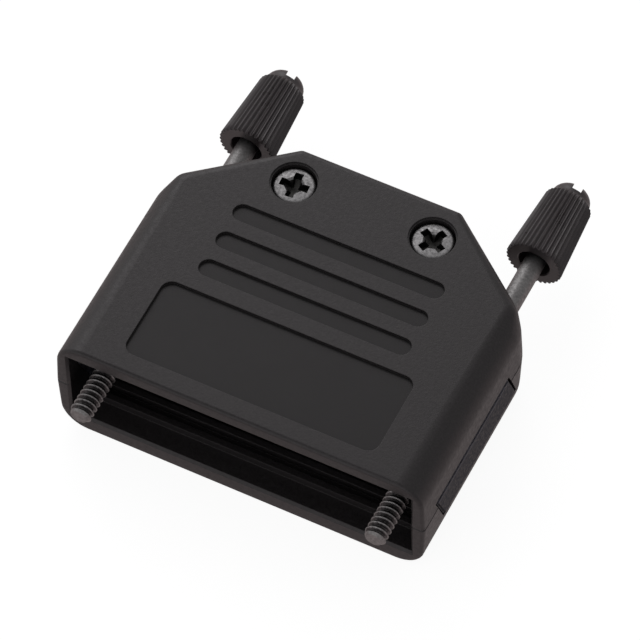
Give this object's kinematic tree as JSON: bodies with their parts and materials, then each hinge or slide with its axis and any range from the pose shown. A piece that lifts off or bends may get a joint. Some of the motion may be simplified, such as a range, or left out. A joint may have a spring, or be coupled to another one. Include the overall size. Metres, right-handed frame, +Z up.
{
  "type": "d-sub hood",
  "caption": "Moulded plastic hood for a D-sub connector: two shells, recessed case screws, captive ribbed thumbscrews, side strips and an inner cable clamp.",
  "frame": {"origin": "midway between the two thumbscrew axes, in the plane of the mating face, at the parting line", "axes": "+X across the connector from the left to the right thumbscrew, +Y from the mating face to the cable end, +Z up through the face with the label recess"},
  "size_m": [0.0588, 0.0674, 0.0197],
  "materials": {
    "shell": "fine spark-eroded grain, black",
    "strip": "soft mottled satin, black",
    "knob": "satin, black, moulded ribs",
    "rod": "dull zinc plate",
    "clip": "spring steel",
    "case_screw": "dull zinc plate",
    "clamp": "zinc plate",
    "clamp_screw": "zinc plate",
    "clamp_nut": "zinc plate"
  },
  "bodies": {
    "hood": {"upper_shell": "shell", "lower_shell": "shell", "left_side_strip": "strip", "right_side_strip": "strip", "left_case_screw": "case_screw", "right_case_screw": "case_screw", "upper_cable_clamp": "clamp", "lower_cable_clamp": "clamp", "left_clamp_screw": "clamp_screw", "right_clamp_screw": "clamp_screw", "left_clamp_nut": "clamp_nut", "right_clamp_nut": "clamp_nut"},
    "left_carriage": {"left_retaining_clip": "clip"},
    "right_carriage": {"right_retaining_clip": "clip"},
    "left_thumbscrew": {"left_jackscrew": "rod", "left_knob": "knob"},
    "right_thumbscrew": {"right_jackscrew": "rod", "right_knob": "knob"}
  },
  "joints": [
    {"name": "left_travel", "type": "slide", "parent": "hood", "child": "left_carriage", "axis": [0, 1, 0], "range_m": [-0.002, 0.004]},
    {"name": "left_turn", "type": "hinge", "parent": "left_carriage", "child": "left_thumbscrew", "pos_m": [-0.02352, 0, 0], "axis": [0, 1, 0], "continuous": true},
    {"name": "right_travel", "type": "slide", "parent": "hood", "child": "right_carriage", "axis": [0, 1, 0], "range_m": [-0.002, 0.004]},
    {"name": "right_turn", "type": "hinge", "parent": "right_carriage", "child": "right_thumbscrew", "pos_m": [0.02352, 0, 0], "axis": [0, 1, 0], "continuous": true}
  ]
}
